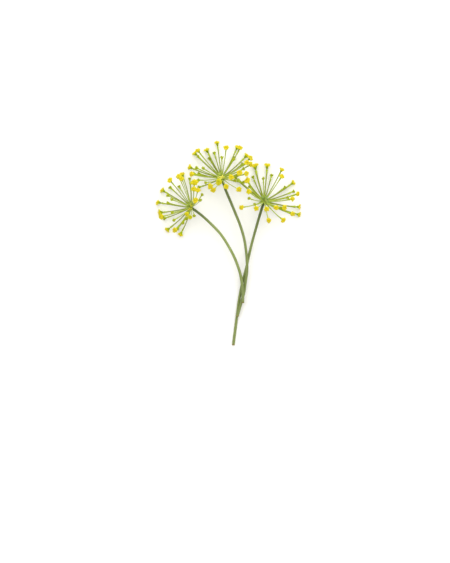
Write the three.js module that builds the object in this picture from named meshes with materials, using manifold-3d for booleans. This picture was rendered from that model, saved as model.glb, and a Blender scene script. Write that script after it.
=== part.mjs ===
// A bunch of three cut dill sprigs lying on a table, each a bare stem with one umbel of small flowers.
// Millimetres. +Y runs from the cut ends towards the flower heads and +Z is up.
// The origin is on the table, under the middle of the bunch.
import * as THREE from "three";
import { mergeVertices } from "three/addons/utils/BufferGeometryUtils.js";
import Module from "manifold-3d";

const wasm = await Module();
wasm.setup();

// Driving dimensions.
const STEM_RADIUS_AT_CUT = 1.4;
const STEM_RADIUS_AT_UMBEL = 1.15;
const STEM_RIBS = 6;
const STEM_RIB_DEPTH = 0.09;
const STEM_STEPS = 16;
const RECEPTACLE_RADIUS = 2.3;
const RECEPTACLE_DEPTH = 1.6;
const RECEPTACLE_DOME = 1.5;
const RECEPTACLE_SIDES = 8;
const JOINT_GAP = 0.3;
const UMBEL_TILT_UP = 30;
const RAY_SIDES = 4;
const FLORET_SIDES = 3;
const RAY_BOW = 0.08;
const RAY_SWELLS_BEFORE_TIP = 6.0;
const RAY_ENDS_BEFORE_TIP = 2.5;
const FLORET_STARTS_BEFORE_TIP = 3.3;
const LYING_SHARE = 0.78;
const GOLDEN_ANGLE = 137.5;
const TABLE_SIZE = 400;
const MERGE_DISTANCE = 1e-4;

// A ray carries an umbellet, a tuft of florets. An open one is in flower, and a bud is shorter and green.
const OPEN = {
  rayLength: 37,
  rayRadius: 0.45,
  tuftLength: 5.0,
  tuftAngle: 29,
  tuftRing: 5,
  floretRadius: 1.15,
  lyingHeight: 1.8,
};
const BUD = {
  rayLength: 28.5,
  rayRadius: 0.38,
  tuftLength: 4.2,
  tuftAngle: 22,
  tuftRing: 4,
  floretRadius: 0.85,
  lyingHeight: 1.8,
};

// Each sprig has the route of its stem from the cut end to just under the umbel, the hub where the rays
// meet, the way its umbel faces, and its rays. Bearings are in degrees clockwise from +Y as seen from above,
// and a ray is its bearing and its reach from the hub. Of the rays that reach far enough, the first, third
// and so on of a list lie down to the table, and the others rise clear of it.
const SPRIGS = {
  left: {
    stemColour: 0x7d9440,
    stemRoute: [
      [15.1, -60.3, 9.2],
      [15.0, -47.2, 9.9],
      [13.8, -36.0, 10.2],
      [11.3, -25.8, 10.5],
      [6.2, -13.5, 10.8],
      [-1.0, -0.3, 11.5],
      [-8.1, 9.9, 12.2],
      [-17.3, 20.1, 13.1],
      [-26.5, 28.8, 14.1],
    ],
    hub: [-36.8, 35.5, 15],
    umbelBearing: -60,
    openRays: [
      [-81, 34], [8, 25], [-59, 34], [-38, 35], [-15, 35], [-22, 34], [-99, 32], [-18, 31], [-133, 33],
      [-108, 32], [-158, 29], [-145, 29], [22, 19], [9, 19], [35, 8], [-150, 9], [-176, 11],
    ],
    budRays: [
      [-46, 29], [-63, 26], [-3, 29], [-80, 23], [-30, 24], [-68, 20], [-112, 29], [-107, 19],
      [-147, 25], [-128, 21], [43, 16], [55, 11], [-154, 17], [159, 9], [-162, 12],
    ],
  },
  centre: {
    stemColour: 0x75903d,
    stemRoute: [
      [9.7, -73.7, 5.2],
      [11.3, -67.6, 5.5],
      [13.8, -59.4, 5.9],
      [16.7, -49.2, 6.9],
      [18.4, -39.0, 8.4],
      [19.6, -28.8, 10.2],
      [19.7, -18.6, 11.6],
      [18.9, -8.4, 12.6],
      [16.9, 3.8, 13.5],
      [13.3, 16.1, 14.3],
      [8.2, 29.3, 15.1],
      [3.1, 41.6, 15.8],
      [-2.0, 52.8, 16.4],
    ],
    hub: [-6.2, 65.1, 17],
    umbelBearing: -12,
    openRays: [
      [-7, 36], [9, 31], [27, 35], [32, 36], [48, 34], [56, 36], [-47, 37], [60, 30], [-28, 32], [66, 33],
      [-71, 34], [-41, 37], [77, 19], [-84, 31], [82, 26], [92, 10], [154, 11], [125, 22], [-148, 16],
      [-130, 15], [-152, 6],
    ],
    budRays: [
      [-16, 26], [-48, 32], [31, 24], [-69, 27], [-32, 23], [-82, 28], [56, 25], [69, 23], [1, 19],
      [103, 22], [34, 21], [-64, 20], [-79, 23], [84, 15], [105, 13], [-97, 23], [-112, 24], [-110, 16],
    ],
  },
  right: {
    stemColour: 0x6f8a3c,
    stemRoute: [
      [5.6, -102.6, 1.15],
      [6.6, -94.5, 1.2],
      [7.7, -86.0, 1.3],
      [9.1, -74.5, 2.2],
      [10.8, -61.5, 3.6],
      [12.8, -49.2, 5.0],
      [15.4, -37.0, 6.4],
      [18.7, -24.8, 7.8],
      [21.5, -11.5, 9.2],
      [24.5, 1.8, 10.6],
      [29.1, 18.1, 12.2],
      [33.7, 33.0, 13.6],
    ],
    hub: [36.7, 41.8, 14.5],
    umbelBearing: 12,
    openRays: [
      [-50, 39], [29, 37], [5, 36], [35, 31], [57, 35], [-41, 27], [-15, 36], [78, 35], [99, 36],
      [86, 29], [111, 38], [115, 32], [136, 28], [168, 21], [-133, 12], [-106, 25], [-60, 19],
      [169, 9], [122, 14], [109, 22],
    ],
    budRays: [
      [16, 27], [-82, 15], [-25, 27], [-3, 22], [71, 31], [-47, 20], [56, 25], [82, 23], [-112, 10],
      [115, 17], [114, 21],
    ],
  },
};

// The point of the table under the middle of the bunch, in the coordinates of the routes and hubs above.
const MIDDLE = [0.9, -0.1, 0];

const vector = ([x, y, z]) => new THREE.Vector3(x, y, z);

// The unit vector of a bearing and an elevation, both in degrees.
function heading(bearing, elevation) {
  const turn = THREE.MathUtils.degToRad(bearing);
  const rise = THREE.MathUtils.degToRad(elevation);
  return new THREE.Vector3(
    Math.sin(turn) * Math.cos(rise),
    Math.cos(turn) * Math.cos(rise),
    Math.sin(rise),
  );
}

// The solid of a closed three.js geometry, without the triangles that shrink to nothing at a pole.
function solidOf(geometry) {
  geometry.deleteAttribute("normal");
  geometry.deleteAttribute("uv");
  const merged = mergeVertices(geometry, MERGE_DISTANCE);
  const corners = merged.index.array;
  const triangles = [];
  for (let i = 0; i < corners.length; i += 3) {
    const [a, b, c] = corners.subarray(i, i + 3);
    if (a !== b && b !== c && c !== a) triangles.push(a, b, c);
  }
  return new wasm.Manifold(
    new wasm.Mesh({
      numProp: 3,
      vertProperties: merged.getAttribute("position").array,
      triVerts: new Uint32Array(triangles),
    }),
  );
}

// The three.js geometry of a solid, with flat faces.
function geometryOf(solid) {
  const mesh = solid.getMesh();
  const indexed = new THREE.BufferGeometry();
  indexed.setAttribute("position", new THREE.BufferAttribute(mesh.vertProperties, 3));
  indexed.setIndex(new THREE.BufferAttribute(mesh.triVerts, 1));
  const faceted = indexed.toNonIndexed();
  faceted.computeVertexNormals();
  return faceted;
}

// A turned body that follows a curve. Its profile is pairs of a share of the curve's length and a radius,
// and every second side is sunk by the groove depth.
function turnedAlong(curve, profile, sides, grooveDepth = 0) {
  const outline = profile.map(([share, radius]) => new THREE.Vector2(radius, share));
  const geometry = new THREE.LatheGeometry(outline, sides);
  const place = geometry.getAttribute("position");
  const chord = curve.getPointAt(1).sub(curve.getPointAt(0)).normalize();
  const upright = new THREE.Quaternion().setFromUnitVectors(new THREE.Vector3(0, 1, 0), chord);
  const bend = new THREE.Quaternion();
  const offset = new THREE.Vector3();
  for (let i = 0; i < place.count; i += 1) {
    const side = Math.floor(i / outline.length) % sides;
    const share = place.getY(i);
    offset.set(place.getX(i), 0, place.getZ(i));
    if (side % 2 === 1) offset.setLength(Math.max(offset.length() - grooveDepth, 0));
    offset.applyQuaternion(upright);
    offset.applyQuaternion(bend.setFromUnitVectors(chord, curve.getTangentAt(share)));
    offset.add(curve.getPointAt(share));
    place.setXYZ(i, offset.x, offset.y, offset.z);
  }
  return solidOf(geometry);
}

// The solid without what would be below the table, where its own origin is at the given height above it.
function cutAtTable(solid, height) {
  const below = new THREE.BoxGeometry(TABLE_SIZE, TABLE_SIZE, TABLE_SIZE);
  below.translate(0, 0, -TABLE_SIZE / 2 - height);
  return solid.subtract(solidOf(below));
}

// A cut stem. Its origin is the middle of the cut end, and it stops just short of the receptacle.
function stem(name, { stemColour, stemRoute, hub }) {
  const cutEnd = vector(stemRoute[0]);
  const route = stemRoute.map((point) => vector(point).sub(cutEnd));
  const neck = vector(hub).sub(cutEnd);
  const back = route[route.length - 1].clone().sub(neck);
  route.push(neck.add(back.setLength(RECEPTACLE_DEPTH + JOINT_GAP)));
  const profile = [[0, 0]];
  for (let step = 0; step <= STEM_STEPS; step += 1) {
    const share = step / STEM_STEPS;
    profile.push([share, THREE.MathUtils.lerp(STEM_RADIUS_AT_CUT, STEM_RADIUS_AT_UMBEL, share)]);
  }
  profile.push([1, 0]);
  const curve = new THREE.CatmullRomCurve3(route);
  const tube = turnedAlong(curve, profile, 2 * STEM_RIBS, STEM_RIB_DEPTH);
  const material = new THREE.MeshStandardMaterial({ color: stemColour, roughness: 0.55, metalness: 0 });
  const mesh = new THREE.Mesh(geometryOf(cutAtTable(tube, cutEnd.z)), material);
  mesh.name = name;
  mesh.position.copy(cutEnd);
  return mesh;
}

// The knob on top of the stem that every ray grows from. It points the way that the stem runs.
function receptacle(growth) {
  const axis = new THREE.LineCurve3(
    growth.clone().multiplyScalar(-RECEPTACLE_DEPTH),
    growth.clone().multiplyScalar(RECEPTACLE_DOME),
  );
  const waist = RECEPTACLE_DEPTH / (RECEPTACLE_DEPTH + RECEPTACLE_DOME);
  const profile = [
    [0, 0],
    [0, STEM_RADIUS_AT_UMBEL],
    [waist, RECEPTACLE_RADIUS],
    [0.5 + 0.5 * waist, 0.8 * RECEPTACLE_RADIUS],
    [1, 0],
  ];
  return turnedAlong(axis, profile, RECEPTACLE_SIDES);
}

// The curve of one ray from the hub to its umbellet, bowed a little away from the way the umbel faces.
function rayCurve([bearing, reach], kind, lying, hubHeight, facing) {
  const rise = Math.sqrt(Math.max(kind.rayLength ** 2 - reach ** 2, 0));
  const tip = heading(bearing, 0).multiplyScalar(reach);
  tip.z = lying ? kind.lyingHeight - hubHeight : rise;
  const middle = tip.clone().multiplyScalar(0.5).addScaledVector(facing, -RAY_BOW * kind.rayLength);
  return new THREE.QuadraticBezierCurve3(new THREE.Vector3(), middle, tip);
}

// A ray: a thin stalk that swells into the foot of its umbellet.
function ray(curve, { rayRadius, floretRadius }) {
  const length = curve.getLength();
  const profile = [
    [0, 0],
    [0, rayRadius],
    [0.45, rayRadius],
    [1 - RAY_SWELLS_BEFORE_TIP / length, 0.9 * rayRadius],
    [1 - RAY_ENDS_BEFORE_TIP / length, floretRadius],
    [1 - RAY_ENDS_BEFORE_TIP / length, 0],
  ];
  return turnedAlong(curve, profile, RAY_SIDES);
}

// A floret: a small cone that opens upwards from the foot of the umbellet.
function floret(foot, direction, { tuftLength, floretRadius }) {
  const profile = [
    [0, 0],
    [0.84, floretRadius],
    [1, 0],
  ];
  const tip = foot.clone().addScaledVector(direction, tuftLength);
  return turnedAlong(new THREE.LineCurve3(foot, tip), profile, FLORET_SIDES);
}

// The florets of one umbellet: one along the ray and a ring spread round it.
function umbellet(curve, kind, turnStart) {
  const along = curve.getTangentAt(1);
  const foot = curve.getPointAt(1).addScaledVector(along, -FLORET_STARTS_BEFORE_TIP);
  const upright = new THREE.Quaternion().setFromUnitVectors(new THREE.Vector3(0, 0, 1), along);
  const florets = [floret(foot, along, kind)];
  for (let i = 0; i < kind.tuftRing; i += 1) {
    const turn = turnStart + (360 * i) / kind.tuftRing;
    florets.push(floret(foot, heading(turn, 90 - kind.tuftAngle).applyQuaternion(upright), kind));
  }
  return florets;
}

// An umbel. Its origin is the hub, and it has the receptacle, the rays and all their florets.
function umbel(name, { stemRoute, hub, umbelBearing, openRays, budRays }) {
  const growth = vector(hub).sub(vector(stemRoute[stemRoute.length - 1])).normalize();
  const facing = heading(umbelBearing, UMBEL_TILT_UP);
  const hubHeight = hub[2];
  let whole = receptacle(growth);
  for (const [kind, rays] of [[OPEN, openRays], [BUD, budRays]]) {
    rays.forEach((plan, i) => {
      const lying = i % 2 === 0 && plan[1] >= LYING_SHARE * kind.rayLength;
      const curve = rayCurve(plan, kind, lying, hubHeight, facing);
      let sprung = ray(curve, kind);
      for (const each of umbellet(curve, kind, GOLDEN_ANGLE * i)) sprung = sprung.add(each);
      whole = whole.add(sprung);
    });
  }
  const material = new THREE.MeshStandardMaterial({ color: 0xd2c52c, roughness: 0.6, metalness: 0 });
  const mesh = new THREE.Mesh(geometryOf(cutAtTable(whole, hubHeight)), material);
  mesh.name = name;
  mesh.position.copy(vector(hub));
  return mesh;
}

// One sprig, from its cut end to its flowers.
function sprig(side, plan) {
  const group = new THREE.Group();
  group.add(stem(`stem_${side}`, plan));
  group.add(umbel(`umbel_${side}`, plan));
  return group;
}

const bunch = new THREE.Group();
bunch.position.copy(vector(MIDDLE).negate());
for (const [side, plan] of Object.entries(SPRIGS)) bunch.add(sprig(side, plan));

export default bunch;
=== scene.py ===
"""Dresses a bunch of three cut, flowering dill sprigs that lie on a table.

Each sprig is a ribbed stem that ends in an umbel: thin rays that grow from one knob, with an umbellet of
tiny flowers or buds on each. Lengths in the plan below are millimetres, and the scene is in metres.
"""

import math
import random

import bmesh
import bpy
from bpy.props import FloatProperty, FloatVectorProperty, IntProperty, PointerProperty
from mathutils import Matrix, Vector


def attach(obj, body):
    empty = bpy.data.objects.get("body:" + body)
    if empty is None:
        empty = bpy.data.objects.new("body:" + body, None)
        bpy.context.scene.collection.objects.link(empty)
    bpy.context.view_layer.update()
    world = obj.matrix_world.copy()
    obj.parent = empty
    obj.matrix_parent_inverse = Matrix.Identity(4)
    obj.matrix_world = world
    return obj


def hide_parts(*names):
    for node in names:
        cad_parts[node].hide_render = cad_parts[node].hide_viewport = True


bl_info = {
    "name": "Dill Bunch",
    "version": (1, 0, 0),
    "blender": (4, 5, 0),
    "location": "3D View > Sidebar > Dill",
    "description": "Builds and finishes a bunch of flowering dill sprigs",
    "category": "Object",
}

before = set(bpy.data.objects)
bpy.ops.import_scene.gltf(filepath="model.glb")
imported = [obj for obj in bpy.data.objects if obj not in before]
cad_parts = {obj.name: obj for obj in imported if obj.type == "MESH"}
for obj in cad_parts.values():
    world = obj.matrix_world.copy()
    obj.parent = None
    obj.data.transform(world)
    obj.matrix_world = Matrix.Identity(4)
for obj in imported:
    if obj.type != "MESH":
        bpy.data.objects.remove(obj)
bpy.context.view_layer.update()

MM = 0.001
UP = Vector((0, 0, 1))
GOLDEN_TURN = math.radians(137.5)

# The point of the table under the middle of the bunch, in the coordinates of the plan.
MIDDLE = (0.9, -0.1, 0)

# Within about a millimetre the same plan as the solids have: each stem's route, its hub, and each ray's
# bearing in degrees clockwise from +Y and its reach from the hub. Of the first, third, fifth ray and so on
# in a list, those that reach far lie on the table. The middle umbellets, over the knob, are given by how
# far they lean to the right and away from the cuts. The unusual open umbellets are given by their place in
# the list, with their size and how green they are, and the uneven rays, with their thickness, by their
# place among the open rays and then the bud rays.
SPRIGS = {
    "left": {
        "stem_route": [
            (15.1, -60.3, 9.2), (15.0, -47.2, 9.9), (13.6, -36.0, 10.2), (11.0, -25.8, 10.5),
            (6.2, -13.5, 10.8), (-1.0, -0.3, 11.5), (-8.1, 9.9, 12.2), (-17.3, 19.5, 13.1),
            (-26.5, 27.8, 14.1),
        ],
        "hub": (-36.8, 35.5, 15),
        "umbel_bearing": -60,
        "middle_umbellets": [(0.3, 1.3), (-0.4, -1.2)],
        "unusual": {1: (1.35, 0.4), 15: (0.82, 0.5), 16: (0.82, 1.0)},
        "uneven_rays": {4: 0.8, 5: 0.75, 7: 0.75, 13: 1.25, 14: 1.35, 19: 1.5, 21: 0.8},
        "open_rays": [
            (-81, 34), (8, 25), (-59, 34), (-38, 35), (-15, 35), (-22, 34), (-99, 32), (-18, 31),
            (-133, 33), (-108, 32), (-158, 29), (-145, 29), (22, 19), (9, 19), (35, 8), (-150, 9),
            (-176, 11),
        ],
        "bud_rays": [
            (-46, 29), (-63, 26), (-3, 29), (-80, 23), (-30, 24), (-68, 20), (-112, 29), (-107, 19),
            (-147, 25), (-128, 21), (43, 16), (55, 11), (-154, 17), (159, 9), (-162, 12),
        ],
    },
    "centre": {
        "stem_route": [
            (9.7, -73.7, 5.2), (11.3, -67.6, 5.5), (13.8, -59.4, 5.9), (16.4, -49.2, 6.9),
            (17.8, -39.0, 8.4), (19.2, -28.8, 10.2), (19.3, -18.6, 11.6), (18.4, -8.4, 12.6),
            (16.5, 3.8, 13.5), (13.0, 16.1, 14.3), (7.8, 29.3, 15.1), (2.7, 41.6, 15.8),
            (-2.0, 52.8, 16.4),
        ],
        "hub": (-6.2, 65.1, 17),
        "umbel_bearing": -12,
        "middle_umbellets": [(-0.5, -0.1), (0.5, 0.2)],
        "unusual": {12: (1.15, 0.1), 20: (1.25, 1.0)},
        "uneven_rays": {6: 1.35, 11: 0.8},
        "open_rays": [
            (-7, 36), (9, 31), (27, 35), (32, 36), (48, 34), (56, 36), (-47, 37), (60, 30), (-28, 32),
            (66, 33), (-71, 34), (-41, 37), (77, 19), (-84, 31), (82, 26), (92, 10), (154, 11),
            (125, 22), (-148, 16), (-130, 15), (-152, 6),
        ],
        "bud_rays": [
            (-16, 26), (-48, 32), (31, 24), (-69, 27), (-32, 23), (-82, 28), (56, 25), (69, 23),
            (1, 19), (103, 22), (34, 21), (-64, 20), (-79, 23), (84, 15), (105, 13), (-97, 23),
            (-112, 24), (-110, 16),
        ],
    },
    "right": {
        "stem_route": [
            (5.6, -102.6, 1.15), (6.6, -94.5, 1.2), (7.7, -86.0, 1.3), (9.1, -74.5, 2.2),
            (10.8, -61.5, 3.6), (12.8, -49.2, 5.0), (15.4, -37.0, 6.4), (18.7, -24.8, 7.8),
            (21.5, -11.5, 9.2), (24.8, 1.8, 10.6), (29.3, 18.1, 12.2), (33.7, 33.0, 13.6),
        ],
        "hub": (36.7, 41.8, 14.5),
        "umbel_bearing": 12,
        "middle_umbellets": [(1.1, 0.3)],
        "unusual": {2: (1.15, 0.2), 5: (1.25, 0.15), 6: (1.3, 0.1)},
        "uneven_rays": {0: 1.5, 1: 0.85, 3: 0.85, 5: 1.3, 6: 1.2, 20: 0.85},
        "open_rays": [
            (-50, 39), (29, 37), (5, 36), (35, 31), (57, 35), (-41, 27), (-15, 36), (78, 35), (99, 36),
            (86, 29), (111, 38), (115, 32), (136, 28), (168, 21), (-133, 12), (-106, 25), (-60, 19),
            (169, 9), (122, 14), (109, 22),
        ],
        "bud_rays": [
            (16, 27), (-82, 15), (-25, 27), (-3, 22), (71, 31), (-47, 20), (56, 25), (82, 23),
            (-112, 10), (115, 17), (114, 21),
        ],
    },
}

# How light each stem is against the colours in its settings, how much darker it gets towards its cut,
# and where it is a little thicker: the distance from its cut, and by which share.
STEM_DEPTHS = {"left": 0.84, "centre": 0.65, "right": 0.65}
STEM_DARKENING = {"left": 0.30, "centre": 0.05, "right": 0.02}
STEM_SWELLINGS = {"left": (14 * MM, 0.12), "centre": (37 * MM, 0.08), "right": (0, 0)}
SWELLING_REACH = 15 * MM

# The colour of each knob and of the small umbellets over it.
HUB_COLOURS = {
    "left": (0.600, 0.560, 0.050),
    "centre": (0.800, 0.745, 0.140),
    "right": (0.400, 0.460, 0.110),
}

# How many degrees an umbel faces up from the table, and how far a ray bows as a share of its length.
UMBEL_TILT_UP = 30
RAY_BOW = 0.08

# A ray keeps its length, so the shorter its reach, the more it rises. One that reaches this share of its
# length may lie down, and the middle of its umbellet is then at this height.
OPEN_RAY_LENGTH = 37 * MM
BUD_RAY_LENGTH = 28.5 * MM
LYING_SHARE = 0.78
LYING_HEIGHT = 1.8 * MM


# Sizes and colours that a user may change.


class StemSettings(bpy.types.PropertyGroup):
    """Sizes and colours of the stems."""

    cut_radius: FloatProperty(
        name="Radius at the cut",
        description="Radius of a stem where it was cut",
        default=1.41 * MM,
        unit="LENGTH",
    )
    umbel_radius: FloatProperty(
        name="Radius at the umbel",
        description="Radius of a stem just under its umbel",
        default=1.35 * MM,
        unit="LENGTH",
    )
    rib_count: IntProperty(
        name="Ribs",
        description="Fine ribs round a stem",
        default=14,
        min=3,
    )
    rib_depth: FloatProperty(
        name="Rib depth",
        description="Height of a rib as a share of the stem's radius",
        default=0.07,
        subtype="FACTOR",
    )
    groove_colour: FloatVectorProperty(
        name="Groove colour",
        description="Darker green of the grooves and streaks",
        default=(0.120, 0.172, 0.038),
        size=3,
        subtype="COLOR",
    )
    skin_colour: FloatVectorProperty(
        name="Skin colour",
        description="Green of most of the skin",
        default=(0.275, 0.345, 0.085),
        size=3,
        subtype="COLOR",
    )
    wax_colour: FloatVectorProperty(
        name="Wax colour",
        description="Lighter, slightly bluish green of the waxy ribs",
        default=(0.420, 0.500, 0.198),
        size=3,
        subtype="COLOR",
    )


class UmbelSettings(bpy.types.PropertyGroup):
    """Sizes and colours of the umbels."""

    ray_radius: FloatProperty(
        name="Ray radius",
        description="Radius of a ray that carries open flowers",
        default=0.47 * MM,
        unit="LENGTH",
    )
    floret_radius: FloatProperty(
        name="Floret radius",
        description="Radius of one open floret",
        default=1.34 * MM,
        unit="LENGTH",
    )
    florets: IntProperty(
        name="Florets",
        description="Open florets in one umbellet",
        default=16,
        min=1,
    )
    buds: IntProperty(
        name="Buds",
        description="Closed buds in one green umbellet",
        default=18,
        min=1,
    )
    ray_colour: FloatVectorProperty(
        name="Ray colour",
        description="Green of the rays halfway out",
        default=(0.335, 0.405, 0.019),
        size=3,
        subtype="COLOR",
    )
    petal_colour: FloatVectorProperty(
        name="Petal colour",
        description="Yellow of the open petals",
        default=(0.830, 0.705, 0.006),
        size=3,
        subtype="COLOR",
    )
    bud_colour: FloatVectorProperty(
        name="Bud colour",
        description="Yellow-green of the closed buds",
        default=(0.335, 0.370, 0.012),
        size=3,
        subtype="COLOR",
    )


class StageSettings(bpy.types.PropertyGroup):
    """The floor, the light and the camera."""

    key_power: FloatProperty(
        name="Key light",
        description="Power of the soft light above the flower heads",
        default=49.0,
        unit="POWER",
    )
    fill_strength: FloatProperty(
        name="Fill light",
        description="Strength of the even light from all round",
        default=0.805,
    )
    camera_height: FloatProperty(
        name="Camera height",
        description="Height of the camera above the bunch",
        default=4.0,
        unit="LENGTH",
    )


# Placing and bending.


def at_middle(point):
    """A point of the plan as a place in the scene."""
    return (Vector(point) - Vector(MIDDLE)) * MM


def heading(bearing, elevation):
    """The unit vector of a bearing clockwise from +Y and an elevation, both in degrees."""
    turn = math.radians(bearing)
    rise = math.radians(elevation)
    return Vector((math.sin(turn) * math.cos(rise), math.cos(turn) * math.cos(rise), math.sin(rise)))


def smooth_route(points, steps):
    """Points along a smooth curve through the given ones, with the given steps to each stretch."""
    ends = [2 * points[0] - points[1], *points, 2 * points[-1] - points[-2]]
    route = []
    for before, start, end, after in zip(ends, ends[1:], ends[2:], ends[3:]):
        leave = (end - before) / 2
        arrive = (after - start) / 2
        for step in range(steps):
            t = step / steps
            bulge = (2 * t**3 - 3 * t**2 + 1) * start + (3 * t**2 - 2 * t**3) * end
            route.append(bulge + (t**3 - 2 * t**2 + t) * leave + (t**3 - t**2) * arrive)
    return [*route, points[-1]]


def bowed(start, middle, end, steps):
    """Points along the curve that leaves start towards middle and then bends to end."""
    places = []
    for step in range(steps + 1):
        t = step / steps
        places.append((1 - t) ** 2 * start + 2 * t * (1 - t) * middle + t**2 * end)
    return places


def frames_along(route):
    """A place and a turn for each point of a route, so that +Z runs along it without twisting."""
    chord = (route[-1] - route[0]).normalized()
    upright = UP.rotation_difference(chord)
    frames = []
    for i, place in enumerate(route):
        along = (route[min(i + 1, len(route) - 1)] - route[max(i - 1, 0)]).normalized()
        bend = chord.rotation_difference(along)
        frames.append(Matrix.Translation(place) @ (bend @ upright).to_matrix().to_4x4())
    return frames


def lengths_along(route):
    """The distance from the start to each point of a route."""
    runs = [0.0]
    for a, b in zip(route, route[1:]):
        runs.append(runs[-1] + (b - a).length)
    return runs


# Growing shapes.


class Growth:
    """A mesh that grows by extruding discs, with what its material needs to know at each point.

    The attribute skin holds the direction round a stalk and the distance along it, the attribute along goes
    from 0 where the stalk starts to 1 where it ends, and the attribute tint tells stalks apart: on rays it
    is the share of painted light against painted shade, and on florets how green they are."""

    def __init__(self):
        self.mesh = bmesh.new()
        self.skin = self.mesh.verts.layers.float_vector.new("skin")
        self.along = self.mesh.verts.layers.float.new("along")
        self.tint = self.mesh.verts.layers.float.new("tint")

    def extruded(self, face):
        """Extrudes the top of a stalk and returns the new top. Only the first face stays, as the bottom."""
        grown = bmesh.ops.extrude_face_region(self.mesh, geom=[face])["geom"]
        if any(len(edge.link_faces) > 2 for edge in face.edges):
            self.mesh.faces.remove(face)
        return next(item for item in grown if isinstance(item, bmesh.types.BMFace))

    def stalk(self, frames, radii, sides, runs, material=0, section=None, shares=None, tint=0.5):
        """A closed stalk through the frames. section(angle) scales its radius round the rim."""
        disc = bmesh.ops.create_circle(self.mesh, cap_ends=True, segments=sides, radius=1.0)["verts"]
        for vert in disc:
            angle = math.atan2(vert.co.y, vert.co.x)
            vert[self.skin] = Vector((vert.co.x, vert.co.y, 0))
            vert.co *= section(angle) if section else 1.0
        face = disc[0].link_faces[0]
        face.material_index = material
        face.smooth = True
        placed = Matrix.Identity(4)
        for i, (place, radius, run) in enumerate(zip(frames, radii, runs)):
            if i:
                face = self.extruded(face)
            wanted = place @ Matrix.Scale(radius, 4)
            rim = list(face.verts)
            bmesh.ops.transform(self.mesh, matrix=wanted @ placed.inverted(), verts=rim)
            placed = wanted
            for vert in rim:
                vert[self.skin] = Vector((*vert[self.skin].xy, run))
                vert[self.along] = shares[i] if shares else run / runs[-1]
                vert[self.tint] = tint
        turn_outwards(self.mesh, face, frames[-1].col[2].xyz)

    def as_data(self, name):
        """The grown mesh as mesh data."""
        data = bpy.data.meshes.new(name)
        self.mesh.to_mesh(data)
        self.mesh.free()
        return data

    def finish(self, name, materials, node, slot):
        """Makes the grown mesh a piece that stands for a node of the frame, in place of an earlier one.

        What would be below the table is flattened."""
        if not self.mesh.faces:
            raise RuntimeError(f"Nothing has grown for {name}")
        for vert in self.mesh.verts:
            vert.co.z = max(vert.co.z, 0.0)
        earlier = bpy.data.objects.get(name)
        if earlier:
            bpy.data.objects.remove(earlier)
        data = self.as_data(name)
        piece = bpy.data.objects.new(name, data)
        bpy.context.scene.collection.objects.link(piece)
        for material in materials:
            data.materials.append(material)
        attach(piece, "root")
        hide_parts(node)


def shell_of(face):
    """Every face that hangs together with the given one."""
    found = {face}
    waiting = [face]
    while waiting:
        for edge in waiting.pop().edges:
            for other in edge.link_faces:
                if other not in found:
                    found.add(other)
                    waiting.append(other)
    return list(found)


def turn_outwards(mesh, face, outwards):
    """Turns the faces of a closed shell outwards, given the way one of them should look."""
    shell = shell_of(face)
    bmesh.ops.recalc_face_normals(mesh, faces=shell)
    face.normal_update()
    if face.normal.dot(outwards) < 0:
        bmesh.ops.reverse_faces(mesh, faces=shell)


def upright_frames(heights):
    """Frames that stand on +Z at the given heights."""
    return [Matrix.Translation((0, 0, height)) for height in heights]


# Shared patterns.


def new_group(name, inputs):
    """An empty node group with float inputs and a tone as its output. Returns it with its two end nodes."""
    group = bpy.data.node_groups.new(name, "ShaderNodeTree")
    for title, value in inputs.items():
        socket = group.interface.new_socket(title, in_out="INPUT", socket_type="NodeSocketFloat")
        socket.default_value = value
    group.interface.new_socket("Tone", in_out="OUTPUT", socket_type="NodeSocketFloat")
    start = group.nodes.new("NodeGroupInput")
    end = group.nodes.new("NodeGroupOutput")
    return group, start, end


def end_with_contrast(group, start, end, noise):
    """Ends a pattern group: its tone is the noise, spread about one half by the group's contrast."""
    centred = group.nodes.new("ShaderNodeMath")
    centred.operation = "SUBTRACT"
    centred.inputs[1].default_value = 0.5
    group.links.new(noise.outputs["Fac"], centred.inputs[0])
    spread = group.nodes.new("ShaderNodeMath")
    spread.operation = "MULTIPLY_ADD"
    spread.use_clamp = True
    spread.inputs[2].default_value = 0.5
    group.links.new(centred.outputs["Value"], spread.inputs[0])
    group.links.new(start.outputs["Contrast"], spread.inputs[1])
    group.links.new(spread.outputs["Value"], end.inputs["Tone"])


def streaks_group():
    """Fine streaks that run along a stalk, from its skin attribute."""
    if "Lengthwise streaks" in bpy.data.node_groups:
        return bpy.data.node_groups["Lengthwise streaks"]
    inputs = {"Fineness": 4.0, "Stretch": 90.0, "Contrast": 1.0}
    group, start, end = new_group("Lengthwise streaks", inputs)
    skin = group.nodes.new("ShaderNodeAttribute")
    skin.attribute_name = "skin"
    size = group.nodes.new("ShaderNodeCombineXYZ")
    group.links.new(start.outputs["Fineness"], size.inputs["X"])
    group.links.new(start.outputs["Fineness"], size.inputs["Y"])
    group.links.new(start.outputs["Stretch"], size.inputs["Z"])
    stretched = group.nodes.new("ShaderNodeVectorMath")
    stretched.operation = "MULTIPLY"
    group.links.new(skin.outputs["Vector"], stretched.inputs[0])
    group.links.new(size.outputs["Vector"], stretched.inputs[1])
    noise = group.nodes.new("ShaderNodeTexNoise")
    noise.inputs["Scale"].default_value = 1.0
    noise.inputs["Detail"].default_value = 3.0
    group.links.new(stretched.outputs["Vector"], noise.inputs["Vector"])
    end_with_contrast(group, start, end, noise)
    return group


def mottle_group():
    """Soft uneven tone over a surface, from its place on the object."""
    if "Soft mottle" in bpy.data.node_groups:
        return bpy.data.node_groups["Soft mottle"]
    group, start, end = new_group("Soft mottle", {"Scale": 400.0, "Contrast": 1.5})
    place = group.nodes.new("ShaderNodeTexCoord")
    noise = group.nodes.new("ShaderNodeTexNoise")
    noise.inputs["Detail"].default_value = 2.0
    group.links.new(place.outputs["Object"], noise.inputs["Vector"])
    group.links.new(start.outputs["Scale"], noise.inputs["Scale"])
    end_with_contrast(group, start, end, noise)
    return group


# Materials.

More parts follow.
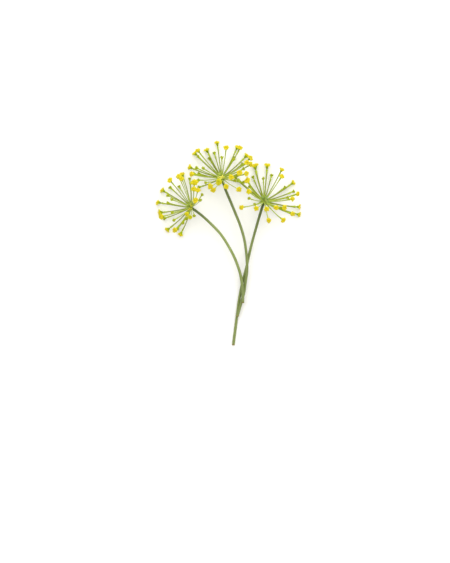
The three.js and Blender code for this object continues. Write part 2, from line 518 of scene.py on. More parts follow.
BLACK = (0.0, 0.0, 0.0)
WHITE = (1.0, 1.0, 1.0)
BUMP_STRENGTH = 0.6
STREAK_HEIGHT = 0.05 * MM


def shade(colour, factor):
    """A colour made lighter or darker by a factor."""
    return tuple(min(1.0, part * factor) for part in colour)


class Finish:
    """A material under construction: a Principled shader and the pattern nodes that feed it."""

    def __init__(self, name, roughness, shine=0.35):
        self.material = bpy.data.materials.new(name)
        self.material.use_nodes = True
        self.nodes = self.material.node_tree.nodes
        self.links = self.material.node_tree.links
        self.shader = self.nodes["Principled BSDF"]
        self.shader.inputs["Roughness"].default_value = roughness
        self.shader.inputs["Specular IOR Level"].default_value = shine

    def pattern(self, group, **values):
        """The tone of a shared pattern."""
        node = self.nodes.new("ShaderNodeGroup")
        node.node_tree = group
        for title, value in values.items():
            node.inputs[title].default_value = value
        return node.outputs["Tone"]

    def attribute(self, name):
        """The value of a point attribute, from 0 to 1."""
        node = self.nodes.new("ShaderNodeAttribute")
        node.attribute_name = name
        return node.outputs["Fac"]

    def ramp(self, tone, stops):
        """Colours at the given places of a tone."""
        node = self.nodes.new("ShaderNodeValToRGB")
        self.links.new(tone, node.inputs["Fac"])
        keys = node.color_ramp.elements
        while len(keys) < len(stops):
            keys.new(0.5)
        for key, (place, colour) in zip(keys, stops):
            key.position = place
            key.color = (*colour, 1)
        return node.outputs["Color"]

    def rising(self, tone, start, end):
        """A mask that goes from 0 where the tone is at start to 1 where it is at end."""
        return self.ramp(tone, [(start, BLACK), (end, WHITE)])

    def mixed(self, tone, first, second):
        """Two colours, or colour outputs, mixed by a tone."""
        node = self.nodes.new("ShaderNodeMix")
        node.data_type = "RGBA"
        self.links.new(tone, node.inputs["Factor"])
        for title, colour in (("A", first), ("B", second)):
            socket = next(each for each in node.inputs if each.name == title and each.type == "RGBA")
            if isinstance(colour, bpy.types.NodeSocket):
                self.links.new(colour, socket)
            else:
                socket.default_value = (*colour, 1)
        return next(each for each in node.outputs if each.type == "RGBA")

    def coloured(self, colour):
        """Gives the shader its colour."""
        self.links.new(colour, self.shader.inputs["Base Color"])

    def bumped(self, tone, height):
        """Lets a tone raise the surface by up to the given height."""
        node = self.nodes.new("ShaderNodeBump")
        node.inputs["Distance"].default_value = height
        node.inputs["Strength"].default_value = BUMP_STRENGTH
        self.links.new(tone, node.inputs["Height"])
        self.links.new(node.outputs["Normal"], self.shader.inputs["Normal"])


def stem_finish(side, settings):
    """The smooth skin of a stem, with light and dark streaks along it, a painted shade under its umbel and a
    brown edge at the cut.
    """
    finish = Finish(f"Stem {side}", 0.45)
    colours = (settings.groove_colour, settings.skin_colour, settings.wax_colour)
    groove, skin, wax = (shade(colour, STEM_DEPTHS[side]) for colour in colours)
    brown = (0.280, 0.210, 0.060)
    streaks = finish.pattern(streaks_group(), Fineness=2.2, Stretch=75.0, Contrast=2.6)
    fine = finish.pattern(streaks_group(), Fineness=7.0, Stretch=160.0, Contrast=1.6)
    mottle = finish.pattern(mottle_group(), Scale=90.0, Contrast=1.2)
    broad = finish.ramp(streaks, [(0.08, groove), (0.45, skin), (0.92, wax)])
    narrow = finish.ramp(fine, [(0.10, shade(skin, 0.75)), (0.90, shade(skin, 1.25))])
    streaked = finish.mixed(mottle, broad, narrow)
    along = finish.attribute("along")
    near_cut = finish.ramp(along, [(0.10, (STEM_DARKENING[side],) * 3), (0.45, BLACK)])
    darker_low = finish.mixed(near_cut, streaked, BLACK)
    # Painted shade: towards the umbel the stem is painted darker, for the umbel's shade falling on it.
    umbel_shade_mask = finish.rising(along, 0.70, 0.98)
    with_painted_umbel_shade = finish.mixed(umbel_shade_mask, darker_low, shade(groove, 0.9))
    past_cut = finish.rising(along, 0.003, 0.011)
    finish.coloured(finish.mixed(past_cut, brown, with_painted_umbel_shade))
    finish.bumped(fine, STREAK_HEIGHT)
    return finish.material


def mottled_finish(name, first, second, scale, contrast, roughness=0.5, shine=0.35):
    """A small part of one kind, mottled between two colours."""
    finish = Finish(name, roughness, shine)
    mottle = finish.pattern(mottle_group(), Scale=scale, Contrast=contrast)
    finish.coloured(finish.mixed(mottle, first, second))
    return finish.material


def pith_finish():
    """The pale brownish pith of a cut end."""
    brown = (0.300, 0.260, 0.110)
    cream = (0.520, 0.500, 0.270)
    return mottled_finish("Cut end", brown, cream, scale=2500.0, contrast=2.5, roughness=0.7)


def pedicel_finish():
    """The fine green stalks inside an umbellet."""
    green = (0.480, 0.600, 0.010)
    light_green = (0.560, 0.680, 0.018)
    return mottled_finish("Pedicels", green, light_green, scale=300.0, contrast=1.5, shine=0.2)


def heart_finish():
    """The deep yellow of the flowers' hearts and of the young florets amid them."""
    ochre = (0.640, 0.440, 0.010)
    yellow = (0.780, 0.600, 0.018)
    return mottled_finish("Flower heart", ochre, yellow, scale=1500.0, contrast=2.0, shine=0.15)


def stamen_finish():
    """The light yellow of the stamens."""
    yellow = (0.800, 0.650, 0.025)
    pale_yellow = (0.880, 0.780, 0.080)
    return mottled_finish("Stamens", yellow, pale_yellow, scale=1500.0, contrast=2.0, shine=0.15)


def ray_finish(name, settings, hub_colour):
    """The rays and the knob they grow from, pale at the hub and yellower again at the umbellets.

    The rays that stand up are painted lighter, and the ones that lie low are painted in shade."""
    finish = Finish(name, 0.5, shine=0.3)
    green = tuple(settings.ray_colour)
    foot = (0.420, 0.520, 0.018)
    along = finish.attribute("along")

    def tones(near_hub, inner_place, inner, outer):
        stops = [(0.0, hub_colour), (0.06, near_hub), (inner_place, inner), (0.80, outer), (0.95, foot)]
        return finish.ramp(along, stops)

    # Painted light and shade: the lit tones go on rays that stand up and the shaded tones on rays that lie
    # low, picked by the tint.
    painted_lit_tones = tones((0.470, 0.575, 0.100), 0.30, (0.495, 0.600, 0.105), shade(green, 1.30))
    painted_shaded_tones = tones((0.375, 0.470, 0.048), 0.25, shade(green, 0.72), shade(green, 0.70))
    painted_light_mix = finish.mixed(finish.attribute("tint"), painted_shaded_tones, painted_lit_tones)
    streaks = finish.pattern(streaks_group(), Fineness=2.5, Stretch=140.0, Contrast=2.0)
    streaked = finish.mixed(streaks, shade(green, 0.6), painted_light_mix)
    mottle = finish.pattern(mottle_group(), Scale=120.0, Contrast=1.2)
    finish.coloured(finish.mixed(mottle, painted_light_mix, streaked))
    return finish.material


def petal_finish(settings):
    """The soft yellow petals, a little deeper towards the middle of each flower."""
    finish = Finish("Petals", 0.6, shine=0.12)
    yellow = tuple(settings.petal_colour)
    light_yellow = (0.900, 0.800, 0.030)
    green = (0.560, 0.640, 0.008)
    along = finish.attribute("along")
    mottle = finish.pattern(mottle_group(), Scale=700.0, Contrast=2.2)
    ripe = finish.mixed(mottle, shade(yellow, 0.92), light_yellow)
    tinted = finish.mixed(finish.attribute("tint"), ripe, green)
    inwards = finish.ramp(
        along,
        [(0.0, (0.480, 0.520, 0.040)), (0.25, (0.700, 0.680, 0.030)), (0.40, yellow), (1.0, yellow)],
    )
    finish.coloured(finish.mixed(along, inwards, tinted))
    return finish.material


def bud_finish(name, colour):
    """Closed buds, darker where they start and yellower at the tip."""
    finish = Finish(name, 0.5, shine=0.2)
    mottle = finish.pattern(mottle_group(), Scale=500.0, Contrast=2.0)
    tipped = finish.ramp(
        finish.attribute("along"),
        [(0.0, shade(colour, 0.6)), (0.55, tuple(colour)), (1.0, shade(colour, 1.25))],
    )
    finish.coloured(finish.mixed(mottle, tipped, shade(colour, 1.15)))
    return finish.material


# Stems.

STEM_SIDES = 42
STEM_STEPS_PER_STRETCH = 7
STEM_END_BEFORE_HUB = 1.0 * MM

# The dish of a cut end: how wide each step is against the one before, and how far it is sunk.
CUT_STEPS = ((0.80, 0.06 * MM), (0.55, 0.20 * MM))

# A stem's thickness wavers by this share, along a sine that has this length for each radian.
STEM_WAVER = 0.015
STEM_WAVE = 6.1 * MM

# Material numbers of a stem.
SKIN, PITH = range(2)


def stem_route(plan):
    """The middle line of a stem, from the cut end into the knob under the umbel."""
    hub = at_middle(plan["hub"])
    points = [at_middle(point) for point in plan["stem_route"]]
    into_knob = hub + (points[-1] - hub).normalized() * STEM_END_BEFORE_HUB
    return smooth_route([*points, into_knob], STEM_STEPS_PER_STRETCH)


def make_stem(side, plan, settings, materials):
    """One stem, with fine ribs along it and a dished cut."""
    growth = Growth()
    route = stem_route(plan)
    frames = frames_along(route)
    runs = lengths_along(route)
    middle, swelling = STEM_SWELLINGS[side]
    radii = []
    for run in runs:
        taper = (settings.umbel_radius - settings.cut_radius) * (run / runs[-1])
        waver = STEM_WAVER * math.sin(run / STEM_WAVE)
        swollen = swelling * math.exp(-(((run - middle) / SWELLING_REACH) ** 2))
        radii.append((settings.cut_radius + taper) * (1 + waver + swollen))

    def ribbed(angle):
        return 1.0 + settings.rib_depth * (math.cos(settings.rib_count * angle) - 1.0) / 2

    growth.stalk(frames, radii, STEM_SIDES, runs, SKIN, section=ribbed)
    dish_cut(growth)
    growth.finish(f"stem_{side}_skin", materials, f"stem_{side}", "stem")


def dish_cut(growth):
    """Gives the cut, which is the lower end in the picture, a rim and a sunken middle of flat faces."""
    ends = [face for face in growth.mesh.faces if len(face.verts) == STEM_SIDES]
    face = min(ends, key=lambda end: end.calc_center_median().y)
    face.normal_update()
    inwards = -face.normal
    flat = []
    for width, depth in CUT_STEPS:
        face = growth.extruded(face)
        middle = face.calc_center_median()
        for vert in face.verts:
            vert.co = middle + (vert.co - middle) * width + inwards * depth
        flat += [step for edge in face.edges for step in edge.link_faces if step is not face]
    flat += bmesh.ops.poke(growth.mesh, faces=[face])["faces"]
    for face in flat:
        face.material_index = PITH
        face.smooth = False


# Umbels.

RAY_SIDES = 8
RAY_STEPS = 12

# A ray's line is worked out in finer steps than its mesh has.
LINE_STEPS = 4 * RAY_STEPS

# How far before the middle of its umbellet a ray ends in its foot, where the florets or the buds start.
FOOT_BEFORE_TIP = 4.9 * MM
BUD_FOOT_BEFORE_TIP = 4.1 * MM

# How far an open umbellet turns up from its ray. One of buds takes a share of its ray's rise and adds to it.
TURN_TO_LIGHT = 0.45
BUD_RISE_SHARE = 0.45
BUD_LEAST_RISE = 0.15

# The knob's outline in millimetres, heights from the hub and radii, from its start inside the stem. Below
# the hub it has the colour that the rays have this far along.
KNOB_START = -1.7
KNOB_OUTLINE = ((-1.1, 1.45), (-0.4, 2.05), (0.2, 2.2), (0.8, 1.85), (1.3, 1.1), (1.45, 0.4))
KNOB_BASE_SHARE = 0.2
KNOB_SIDES = 20
KNOB_LOBES = 9
KNOB_LOBE_DEPTH = 0.05

# How thick rays are against the radius in the settings: those of each umbel, those with buds, the range of
# each, and those that lie, with what a ray loses that stands upright.
RAY_SHARES = {"left": 0.92, "centre": 1.0, "right": 1.14}
BUD_RAY_SHARE = 0.85
RAY_SHARE_RANGE = (0.92, 1.1)
LYING_RAY_SHARE = 1.14
UPRIGHT_RAY_LOSS = 0.40

# How much painted light a ray takes, from 0 for painted shade to 1 for painted light: one that lies, with
# what a ray gains that stands upright, divided by this power of its unevenness.
LYING_RAY_PAINTED_LIGHT = 0.15
UPRIGHT_RAY_PAINTED_LIGHT = 1.15
UNEVEN_RAY_SHADE_POWER = 3

# How much thicker a ray is at its hub and at its foot, as a share, and how far that reaches.
HUB_FLARE = 0.95
HUB_FLARE_REACH = 5.5 * MM
FOOT_FLARE = 0.88
FOOT_FLARE_REACH = 2.8 * MM

# The round end of a ray's foot: how far past its last ring, and how wide against it.
FOOT_END = ((0.25 * MM, 0.90), (0.50 * MM, 0.66), (0.68 * MM, 0.30))


def ray_line(ray, length, lying, hub, facing):
    """The middle line of one ray, from the hub to the middle of its umbellet."""
    bearing, reach = ray
    reach = reach * MM
    tip = heading(bearing, 0) * reach
    tip.z = LYING_HEIGHT - hub.z if lying else math.sqrt(max(length**2 - reach**2, 0))
    middle = tip / 2 - facing * RAY_BOW * length
    return [hub + place for place in bowed(Vector((0, 0, 0)), middle, tip, LINE_STEPS)]


def rays_of(plan):
    """Every ray of an umbel: its middle line and whether its umbellet is open."""
    hub = at_middle(plan["hub"])
    facing = heading(plan["umbel_bearing"], UMBEL_TILT_UP)
    found = []
    for opened, key, length in ((True, "open_rays", OPEN_RAY_LENGTH), (False, "bud_rays", BUD_RAY_LENGTH)):
        for i, ray in enumerate(plan[key]):
            lying = i % 2 == 0 and ray[1] * MM >= LYING_SHARE * length
            found.append((ray_line(ray, length, lying, hub, facing), opened))
    return found


def up_to_foot(line, opened):
    """The part of a ray's line up to its foot, in RAY_STEPS even steps."""
    runs = lengths_along(line)
    stop = runs[-1] - (FOOT_BEFORE_TIP if opened else BUD_FOOT_BEFORE_TIP)
    places = []
    for step in range(RAY_STEPS + 1):
        wanted = stop * step / RAY_STEPS
        i = max(k for k in range(len(runs) - 1) if runs[k] <= wanted)
        t = (wanted - runs[i]) / (runs[i + 1] - runs[i])
        places.append(line[i].lerp(line[i + 1], min(t, 1.0)))
    return places


def umbellet_base(line, opened):
    """Where the florets of a ray start, and the way they face.

    Flowers face along the ray and a little to the light, and buds lean over to the side."""
    short = up_to_foot(line, opened)
    along = (short[-1] - short[-2]).normalized()
    if opened:
        return short[-1], (along + UP * TURN_TO_LIGHT).normalized()
    return short[-1], Vector((along.x, along.y, BUD_RISE_SHARE * along.z + BUD_LEAST_RISE)).normalized()


def make_knob(growth, plan, stem_radius):
    """The knob on top of the stem, a low ribbed dome that the rays grow from."""
    hub = at_middle(plan["hub"])
    stem_way = (hub - at_middle(plan["stem_route"][-1])).normalized()
    upright = Matrix.Translation(hub) @ UP.rotation_difference(stem_way).to_matrix().to_4x4()
    outline = ((KNOB_START, stem_radius / MM), *KNOB_OUTLINE)
    frames = [upright @ Matrix.Translation((0, 0, height * MM)) for height, _ in outline]
    radii = [radius * MM for _, radius in outline]
    runs = [(height - KNOB_START) * MM for height, _ in outline]
    shares = [KNOB_BASE_SHARE if height < 0 else 0.0 for height, _ in outline]

    def lobed(angle):
        return 1.0 + KNOB_LOBE_DEPTH * math.cos(KNOB_LOBES * angle)

    growth.stalk(frames, radii, KNOB_SIDES, runs, section=lobed, shares=shares)


def make_rays(side, plan, settings, stem_settings, materials):
    """The knob and the rays of one umbel, each swelling into the foot of its umbellet.

    The tint says how much painted light a ray takes: rays that rise are painted lighter, and thicker ones
    get more painted shade."""
    growth = Growth()
    make_knob(growth, plan, stem_settings.umbel_radius)
    chance = random.Random(f"rays {side}")
    for i, (line, opened) in enumerate(rays_of(plan)):
        unevenness = plan["uneven_rays"].get(i, 1.0)
        rise = (line[-1] - line[0]).normalized().z
        thick = settings.ray_radius * (1.0 if opened else BUD_RAY_SHARE) * chance.uniform(*RAY_SHARE_RANGE)
        thick *= (LYING_RAY_SHARE - UPRIGHT_RAY_LOSS * max(rise, 0)) * unevenness * RAY_SHARES[side]
        # Painted light and shade: standing rays are painted lighter, and lying and thicker rays darker.
        painted_lightness = (LYING_RAY_PAINTED_LIGHT + UPRIGHT_RAY_PAINTED_LIGHT * rise) / unevenness**UNEVEN_RAY_SHADE_POWER
        grow_ray(growth, up_to_foot(line, opened), thick, min(1.0, max(0.0, painted_lightness)))
    growth.finish(f"umbel_{side}_rays", materials, f"umbel_{side}", "umbel")


def grow_ray(growth, line, thick, tint):
    """One ray along its line, flared at both ends and rounded at its foot."""
    frames = frames_along(line)
    runs = lengths_along(line)
    radii = []
    for run in runs:
        at_hub = HUB_FLARE * math.exp(-run / HUB_FLARE_REACH)
        at_foot = FOOT_FLARE * math.exp(-(runs[-1] - run) / FOOT_FLARE_REACH)
        radii.append(thick * (1.0 + at_hub + at_foot))
    way = (line[-1] - line[-2]).normalized()
    for beyond, width in FOOT_END:
        frames.append(Matrix.Translation(way * beyond) @ frames[RAY_STEPS])
        radii.append(radii[RAY_STEPS] * width)
        runs.append(runs[RAY_STEPS] + beyond)
    growth.stalk(frames, radii, RAY_SIDES, runs, tint=tint)


# Umbellets.

# Material numbers of the piece that holds the open florets, and of the one that holds the buds.
PETAL, HEART, PEDICEL, STAMEN = range(4)
BUD, BUD_PEDICEL, MIDDLE_BUD, INNER_BUD = range(4)

PEDICEL_SIDES = 3
PEDICEL_RADIUS = 0.20 * MM
PEDICEL_TOP_RADIUS = 0.24 * MM

# An open floret, in floret radii but for its length: how far before its end the petals start, how far
# below them the pedicel ends, and the ovary between, as heights from the petals' start and radii.
PETALS = 5
FLORET_LENGTH = 5.4 * MM
PETALS_BEFORE_END = 0.7
PEDICEL_BELOW_PETALS = 0.70
OVARY = ((-0.20, 0.32), (0.10, 0.20))

# How open the florets are, from 0 for cupped to 1, how far open petals rise, and what cupped ones have
# less in width and more in height.
FLORET_OPENNESS = (0.4, 1.0)
OPEN_LIFT = 0.08
CUPPED_NARROWING = 0.30
CUPPED_LIFT = 0.42

# A stamen: its lean in radians, and in floret radii its start over the petals', its length and its radii.
STAMEN_LEAN = 0.5
STAMEN_START = 0.5
STAMEN_LENGTH = 0.85
STAMEN_RADII = (0.05, 0.13)

# Closed buds: lengths with the pedicel and radii, then in such radii how far before its end a bud starts,
# and its outline, as heights from its start and radii.
BUD_LENGTHS = (5.1 * MM, 4.9 * MM)
MIDDLE_BUD_LENGTH = 5.2 * MM
BUD_RADIUS = 0.54 * MM
YOUNG_RADIUS = 0.50 * MM
INNER_RADIUS = 0.42 * MM
BUD_SIDES = 6
BUD_BEFORE_END = 1.6
BUD_OUTLINE = ((-0.2, 0.30), (0.35, 0.75), (1.1, 1.0), (1.8, 0.75), (2.1, 0.30))

# How far the outermost florets and buds of an umbellet lean away from its middle, and how large the open
# umbellets and the middle ones are.
FLORET_SPREADS = {"left": math.radians(26.5), "centre": math.radians(26.5), "right": math.radians(25)}
UMBELLET_SCALES = {"left": 1.03, "centre": 1.03, "right": 1.0}
BUD_SPREAD = math.radians(20)
MIDDLE_BUD_SPREAD = math.radians(17)
MIDDLE_BUDS = 8
MIDDLE_SCALES = {"left": 1.25, "centre": 1.35, "right": 1.1}

# How far a middle umbellet points upwards, against its lean in the plan.
MIDDLE_UPWARD = 3.0

# Short young umbellets round each knob, on the side that the umbel faces: how many, how far round they go
# and how steeply they rise, in degrees, and where in its share of the round each may be.
INNER_UMBELLETS = {"left": 5, "centre": 9, "right": 10}
INNER_SWEEP = 270
INNER_RISE = (25, 55)
INNER_PLACE = (0.3, 0.7)
INNER_BUDS = 4
INNER_SPREAD = math.radians(13)
INNER_SCALES = (0.9, 1.4)
INNER_COLOURS = {
    "left": (0.420, 0.520, 0.110),
    "centre": (0.420, 0.520, 0.110),
    "right": (0.290, 0.410, 0.105),
}

# How green an umbellet of open florets may be, from 0 for yellow to 1.
GREENEST = 0.35

# How the florets of an umbellet are scattered: where the first one is, as a share of a place, how far each
# wavers outwards and round, in radians, and its size. Over this first share of them the models follow one
# another from the least open, and the rest are the last one.
FIRST_PLACE = 0.4
LEAN_WAVER = 0.04
TURN_WAVER = 0.12
FLORET_SCALES = (0.84, 1.04)
OPENING_SHARE = 0.45


def floret_template(settings, openness):
    """One open floret on its pedicel, with the pedicel's foot at the origin and the flower up +Z.

    openness 1 spreads the petals wide and 0 keeps them cupped."""
    growth = Growth()
    size = settings.floret_radius
    top = FLORET_LENGTH - PETALS_BEFORE_END * size
    heights = [0, top - PEDICEL_BELOW_PETALS * size, *(top + height * size for height, _ in OVARY)]
    radii = [PEDICEL_RADIUS, PEDICEL_TOP_RADIUS, *(radius * size for _, radius in OVARY)]
    growth.stalk(upright_frames(heights), radii, PEDICEL_SIDES, heights, PEDICEL)
    grow_petals(growth, openness, size, top)
    start = Matrix.Translation((0, 0, top + STAMEN_START * size))
    length = STAMEN_LENGTH * size
    radii = [radius * size for radius in STAMEN_RADII]
    for i in range(PETALS):
        turn = Matrix.Rotation(2 * math.pi * (i + 0.5) / PETALS, 4, "Z")
        foot = start @ turn @ Matrix.Rotation(STAMEN_LEAN, 4, "Y")
        frames = [foot, foot @ Matrix.Translation((0, 0, length))]
        growth.stalk(frames, radii, PEDICEL_SIDES, [0, length], STAMEN)
    return growth.as_data("floret")


def grow_petals(growth, openness, size, top):
    """A ring of petals with notches between them, grown outwards from below and back in over the heart."""
    disc = bmesh.ops.create_circle(growth.mesh, cap_ends=True, segments=2 * PETALS, radius=1.0)["verts"]
    for i, vert in enumerate(disc):
        vert[growth.skin] = Vector((vert.co.x, vert.co.y, i % 2))
    face = disc[0].link_faces[0]
    face.material_index = PETAL
    face.smooth = True
    width = 1 - CUPPED_NARROWING * (1 - openness)
    lift = OPEN_LIFT + CUPPED_LIFT * (1 - openness)
    # Each row: height and radius of the petals, then of the notches between them, then the place along.
    rows = [
        (0.02, 0.22, 0.02, 0.22, 0.0),
        (0.50 + lift, 1.00 * width, 0.40 + 0.5 * lift, 0.66 * width, 0.75),
        (0.78 + lift, 0.66 * width, 0.62 + 0.5 * lift, 0.50 * width, 1.0),
        (0.52 + 0.3 * lift, 0.32, 0.52 + 0.3 * lift, 0.32, 0.4),
    ]
    for step, (petal_height, petal_radius, notch_height, notch_radius, share) in enumerate(rows):
        if step:
            face = growth.extruded(face)
        for vert in face.verts:
            across, deep, is_notch = vert[growth.skin]
            radius = (notch_radius if is_notch else petal_radius) * size
            height = (notch_height if is_notch else petal_height) * size
            vert.co = Vector((across * radius, deep * radius, top + height))
            vert[growth.along] = share
    face.material_index = HEART
    turn_outwards(growth.mesh, face, UP)


def bud_template(length, radius, material, pedicel_material):
    """One closed bud on its pedicel, with the pedicel's foot at the origin and the bud up +Z."""
    growth = Growth()
    top = length - BUD_BEFORE_END * radius
    widths = [PEDICEL_RADIUS, PEDICEL_TOP_RADIUS]
    growth.stalk(upright_frames([0, top]), widths, PEDICEL_SIDES, [0, top], pedicel_material)
    frames = upright_frames([top + height * radius for height, _ in BUD_OUTLINE])
    widths = [width * radius for _, width in BUD_OUTLINE]
    runs = [(height - BUD_OUTLINE[0][0]) * radius for height, _ in BUD_OUTLINE]
    growth.stalk(frames, widths, BUD_SIDES, runs, material)
    return growth.as_data("bud")


def scatter_on_umbellet(growth, models, base, way, count, spread, chance, scale=1.0, tint=0.0):
    """Puts florets on an umbellet, each pointing its own way within the spread, in a sunflower pattern.

    The first ones are in the middle, and take the first of the models, which is the least open. The scale
    goes for all of them, and so does the tint, which is kept in the attribute of that name."""
    upright = UP.rotation_difference(way).to_matrix().to_4x4()
    start = chance.uniform(0, 2 * math.pi)
    for i in range(count):
        tilt = spread * math.sqrt((i + FIRST_PLACE) / count) + chance.uniform(-LEAN_WAVER, LEAN_WAVER)
        turn = start + i * GOLDEN_TURN + chance.uniform(-TURN_WAVER, TURN_WAVER)
        lean = Matrix.Rotation(turn, 4, "Z") @ Matrix.Rotation(tilt, 4, "Y")
        spin = Matrix.Rotation(chance.uniform(0, 2 * math.pi), 4, "Z")
        size = Matrix.Scale(chance.uniform(*FLORET_SCALES) * scale, 4)
        stage = min(len(models) - 1, int(len(models) * i / (OPENING_SHARE * count)))
        copy = models[stage].copy()
        copy.transform(Matrix.Translation(base) @ upright @ lean @ spin @ size)
        copy.attributes["tint"].data.foreach_set("value", [tint] * len(copy.vertices))
        growth.mesh.from_mesh(copy)
        bpy.data.meshes.remove(copy)


def make_flowers(side, plan, settings, models, materials):
    """Every open floret of one umbel."""
    growth = Growth()
    chance = random.Random(f"flowers {side}")
    for i, (line, opened) in enumerate(rays_of(plan)):
        if opened:
            base, way = umbellet_base(line, True)
            usual = (UMBELLET_SCALES[side], chance.uniform(0.0, GREENEST))
            scale, tint = plan["unusual"].get(i, usual)
            spread = FLORET_SPREADS[side]
            scatter_on_umbellet(growth, models, base, way, settings.florets, spread, chance, scale, tint)
    growth.finish(f"umbel_{side}_flowers", materials, f"umbel_{side}", "umbel")


def make_buds(side, plan, settings, models, middle_model, inner_model, materials):
    """Every closed bud of one umbel, and the small pale ones on short rays over and round its knob."""
    growth = Growth()
    chance = random.Random(f"buds {side}")
    for line, opened in rays_of(plan):
        if not opened:
            base, way = umbellet_base(line, False)
            scatter_on_umbellet(growth, models, base, way, settings.buds, BUD_SPREAD, chance)
    hub = at_middle(plan["hub"])
    for across, beyond in plan["middle_umbellets"]:
        way = Vector((across, beyond, MIDDLE_UPWARD)).normalized()
        scale = MIDDLE_SCALES[side]
        scatter_on_umbellet(growth, [middle_model], hub, way, MIDDLE_BUDS, MIDDLE_BUD_SPREAD, chance, scale)
    count = INNER_UMBELLETS[side]
    for i in range(count):
        share = (i + chance.uniform(*INNER_PLACE)) / count - 0.5
        way = heading(plan["umbel_bearing"] + INNER_SWEEP * share, chance.uniform(*INNER_RISE))
        scale = chance.uniform(*INNER_SCALES)
        scatter_on_umbellet(growth, [inner_model], hub, way, INNER_BUDS, INNER_SPREAD, chance, scale)
    growth.finish(f"umbel_{side}_buds", materials, f"umbel_{side}", "umbel")


# Operators of the pieces.


class DILL_OT_stems(bpy.types.Operator):
    """Make the three stems."""

    bl_idname = "dill.stems"
    bl_label = "Stems"

    def execute(self, context):
        settings = context.scene.dill_stems
        pith = pith_finish()
        for side, plan in SPRIGS.items():
            make_stem(side, plan, settings, [stem_finish(side, settings), pith])
        return {"FINISHED"}


class DILL_OT_rays(bpy.types.Operator):
    """Make the knobs and the rays of the three umbels."""

    bl_idname = "dill.rays"
    bl_label = "Rays"

    def execute(self, context):
        settings = context.scene.dill_umbels
        for side, plan in SPRIGS.items():
            finish = ray_finish(f"Rays {side}", settings, HUB_COLOURS[side])
            make_rays(side, plan, settings, context.scene.dill_stems, [finish])
        return {"FINISHED"}


class DILL_OT_flowers(bpy.types.Operator):
    """Make the open yellow florets of the three umbels."""

    bl_idname = "dill.flowers"
    bl_label = "Flowers"

    def execute(self, context):
        settings = context.scene.dill_umbels
        materials = [petal_finish(settings), heart_finish(), pedicel_finish(), stamen_finish()]
        models = [bud_template(FLORET_LENGTH, YOUNG_RADIUS, HEART, PEDICEL)]
        models += [floret_template(settings, openness) for openness in FLORET_OPENNESS]
        for side, plan in SPRIGS.items():
            make_flowers(side, plan, settings, models, materials)
        for model in models:
            bpy.data.meshes.remove(model)
        return {"FINISHED"}


class DILL_OT_buds(bpy.types.Operator):
    """Make the closed green buds of the three umbels."""

    bl_idname = "dill.buds"
    bl_label = "Buds"

    def execute(self, context):
        settings = context.scene.dill_umbels
        green = bud_finish("Buds", settings.bud_colour)
        pedicels = bpy.data.materials.get("Pedicels") or pedicel_finish()
        models = [bud_template(length, BUD_RADIUS, BUD, BUD_PEDICEL) for length in BUD_LENGTHS]
        middle_model = bud_template(MIDDLE_BUD_LENGTH, YOUNG_RADIUS, MIDDLE_BUD, MIDDLE_BUD)
        inner_model = bud_template(MIDDLE_BUD_LENGTH, INNER_RADIUS, INNER_BUD, INNER_BUD)
        for side, plan in SPRIGS.items():
            middle = bud_finish(f"Middle buds {side}", HUB_COLOURS[side])
            inner = bud_finish(f"Inner buds {side}", INNER_COLOURS[side])
            materials = [green, pedicels, middle, inner]
            make_buds(side, plan, settings, models, middle_model, inner_model, materials)
        for model in (*models, middle_model, inner_model):
            bpy.data.meshes.remove(model)
        return {"FINISHED"}


# Stage.

# The photograph is 563 pixels high, one pixel is one millimetre at the height of the heads, and its middle
# is this far from the middle of the bunch.
PICTURE_HEIGHT = 563 * MM
PICTURE_MIDDLE = (-3.6 * MM, -38.6 * MM)
FOCUS_HEIGHT = 15 * MM

FLOOR_SIZE = 6.0
FLOOR_COLOUR = (0.93, 0.912, 0.880, 1)
LAMP_SIZE = 3.0
LAMP_PLACE = Vector((0.15, 1.1, 1.7))
LAMP_AIM = Vector((0, 0.04, 0))


def make_floor():
    """The white table that the bunch lies on."""
    mesh = bmesh.new()
    bmesh.ops.create_grid(mesh, x_segments=1, y_segments=1, size=FLOOR_SIZE / 2)
    data = bpy.data.meshes.new("table")
    mesh.to_mesh(data)
    mesh.free()
    finish = Finish("White table", 0.9, shine=0.0)
    finish.shader.inputs["Base Color"].default_value = FLOOR_COLOUR
    data.materials.append(finish.material)
    floor = bpy.data.objects.new("table", data)
    bpy.context.scene.collection.objects.link(floor)


def make_light(settings):
    """A large soft light above and beyond the heads, and an even white surrounding."""
    lamp = bpy.data.lights.new("key", "AREA")
    lamp.size = LAMP_SIZE
    lamp.energy = settings.key_power
    light = bpy.data.objects.new("key", lamp)
    light.location = LAMP_PLACE
    light.rotation_euler = (LAMP_AIM - LAMP_PLACE).to_track_quat("-Z", "Y").to_euler()
    bpy.context.scene.collection.objects.link(light)
    world = bpy.data.worlds.new("surrounding")
    world.use_nodes = True
    background = world.node_tree.nodes["Background"]
    background.inputs["Color"].default_value = (*WHITE, 1)
    background.inputs["Strength"].default_value = settings.fill_strength
    bpy.context.scene.world = world


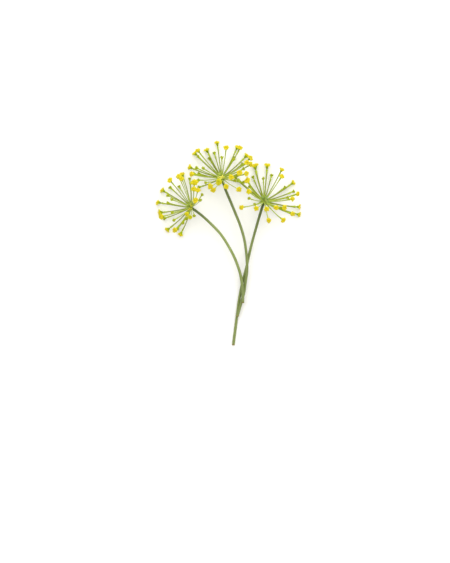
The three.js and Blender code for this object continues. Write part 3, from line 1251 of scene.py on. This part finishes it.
def make_camera(context, settings):
    """A camera straight above the middle of the picture, with a long lens."""
    optics = bpy.data.cameras.new("camera")
    distance = settings.camera_height
    optics.lens = optics.sensor_width * distance / PICTURE_HEIGHT
    optics.clip_end = 4 * distance
    camera = bpy.data.objects.new("camera", optics)
    camera.location = (*PICTURE_MIDDLE, FOCUS_HEIGHT + distance)
    context.scene.collection.objects.link(camera)
    context.scene.camera = camera


class DILL_OT_stage(bpy.types.Operator):
    """Make the white table, the soft light and the camera that looks straight down."""

    bl_idname = "dill.stage"
    bl_label = "Stage"

    def execute(self, context):
        settings = context.scene.dill_stage
        make_floor()
        make_light(settings)
        make_camera(context, settings)
        context.scene.view_settings.view_transform = "Standard"
        return {"FINISHED"}


# Panel and registration.


class VIEW3D_PT_dill(bpy.types.Panel):
    """Lists the steps that build the bunch."""

    bl_label = "Dill bunch"
    bl_space_type = "VIEW_3D"
    bl_region_type = "UI"
    bl_category = "Dill"

    def draw(self, context):
        scene = context.scene
        for title, settings in (
            ("Stems", scene.dill_stems),
            ("Umbels", scene.dill_umbels),
            ("Stage", scene.dill_stage),
        ):
            box = self.layout.box()
            box.label(text=title)
            for name in settings.__annotations__:
                box.prop(settings, name)
        for operator in OPERATORS:
            self.layout.operator(operator.bl_idname)


OPERATORS = (DILL_OT_stems, DILL_OT_rays, DILL_OT_flowers, DILL_OT_buds, DILL_OT_stage)
CLASSES = (StemSettings, UmbelSettings, StageSettings, *OPERATORS, VIEW3D_PT_dill)


def register():
    """Registers the classes and the settings on the scene."""
    for each in CLASSES:
        bpy.utils.register_class(each)
    bpy.types.Scene.dill_stems = PointerProperty(type=StemSettings)
    bpy.types.Scene.dill_umbels = PointerProperty(type=UmbelSettings)
    bpy.types.Scene.dill_stage = PointerProperty(type=StageSettings)


def unregister():
    """Takes away what register made."""
    del bpy.types.Scene.dill_stage
    del bpy.types.Scene.dill_umbels
    del bpy.types.Scene.dill_stems
    for each in reversed(CLASSES):
        bpy.utils.unregister_class(each)


def main():
    """Builds the whole scene."""
    register()
    bpy.ops.dill.stems()
    bpy.ops.dill.rays()
    bpy.ops.dill.flowers()
    bpy.ops.dill.buds()
    bpy.ops.dill.stage()


if __name__ == "__main__":
    main()
